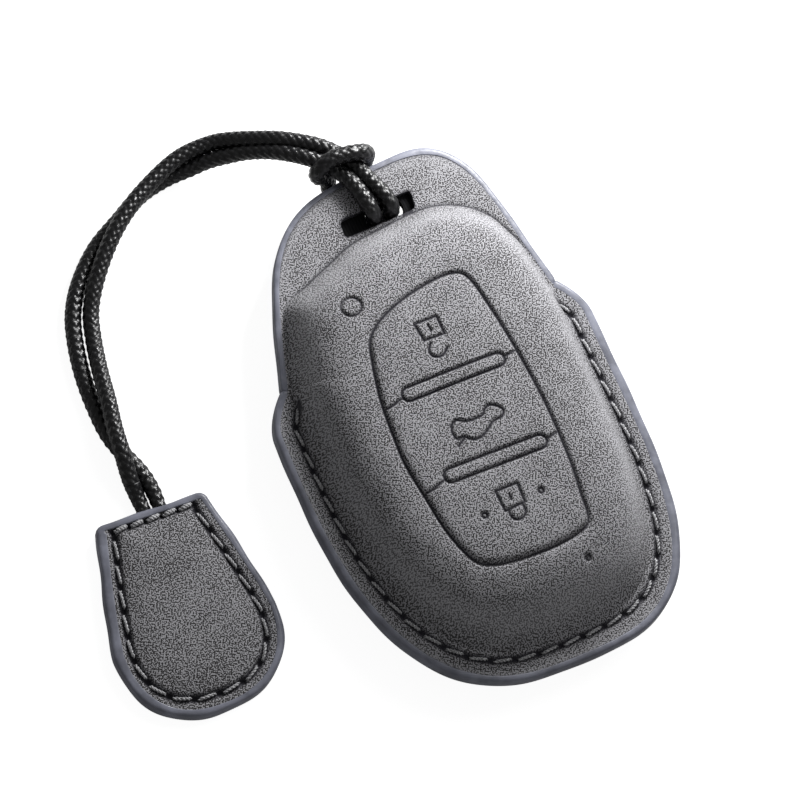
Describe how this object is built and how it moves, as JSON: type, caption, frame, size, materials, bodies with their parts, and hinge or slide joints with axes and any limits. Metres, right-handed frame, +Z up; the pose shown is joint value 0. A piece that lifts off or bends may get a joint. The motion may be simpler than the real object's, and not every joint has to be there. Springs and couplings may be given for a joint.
{
  "type": "car key pouch",
  "caption": "Moulded suede-look pouch for a remote car key, with a stitched rim, a slotted tab and a stitched pull tag on a slack loop of waxed cord.",
  "frame": {"origin": "under the middle of the pouch, on the flat of the back cover that it lies on; the widest line of the pouch is 2.35 mm toward the tab from it", "axes": "+Z up through the front cover, +Y along the pouch toward the slotted tab, +X to the right with the tab away from the viewer; the pull tag lies on the -X side"},
  "size_m": [0.101, 0.1133, 0.0194],
  "materials": {
    "suede": "napped, speckled mid grey",
    "lining": "fine black knit",
    "edge_coat": "smooth satin grey edge coat",
    "cord": "glossy waxed black braid",
    "padding": "soft padding, hidden"
  },
  "bodies": {
    "pouch": {"front_cover": "suede", "back_cover": "suede", "front_lining": "lining", "back_lining": "lining", "rim_edge_coat": "edge_coat", "front_tab_edge_coat": "edge_coat", "back_tab_edge_coat": "edge_coat", "cord_knot": "cord"},
    "slack_loop": {"cord_left_strand": "cord", "cord_right_strand": "cord"},
    "pull_tag": {"tag_front": "suede", "tag_back": "suede", "tag_padding": "padding", "tag_edge_coat": "edge_coat"}
  },
  "joints": [
    {"name": "loop_swing", "type": "hinge", "parent": "pouch", "child": "slack_loop", "pos_m": [-0.0125, 0, 0.0105], "axis": [0, 1, 0], "range_deg": [0, 100]},
    {"name": "tag_swing", "type": "hinge", "parent": "slack_loop", "child": "pull_tag", "pos_m": [-0.05395, 0.00675, 0.003], "axis": [-0.9983, 0.0576, 0], "range_deg": [0, 120]}
  ]
}
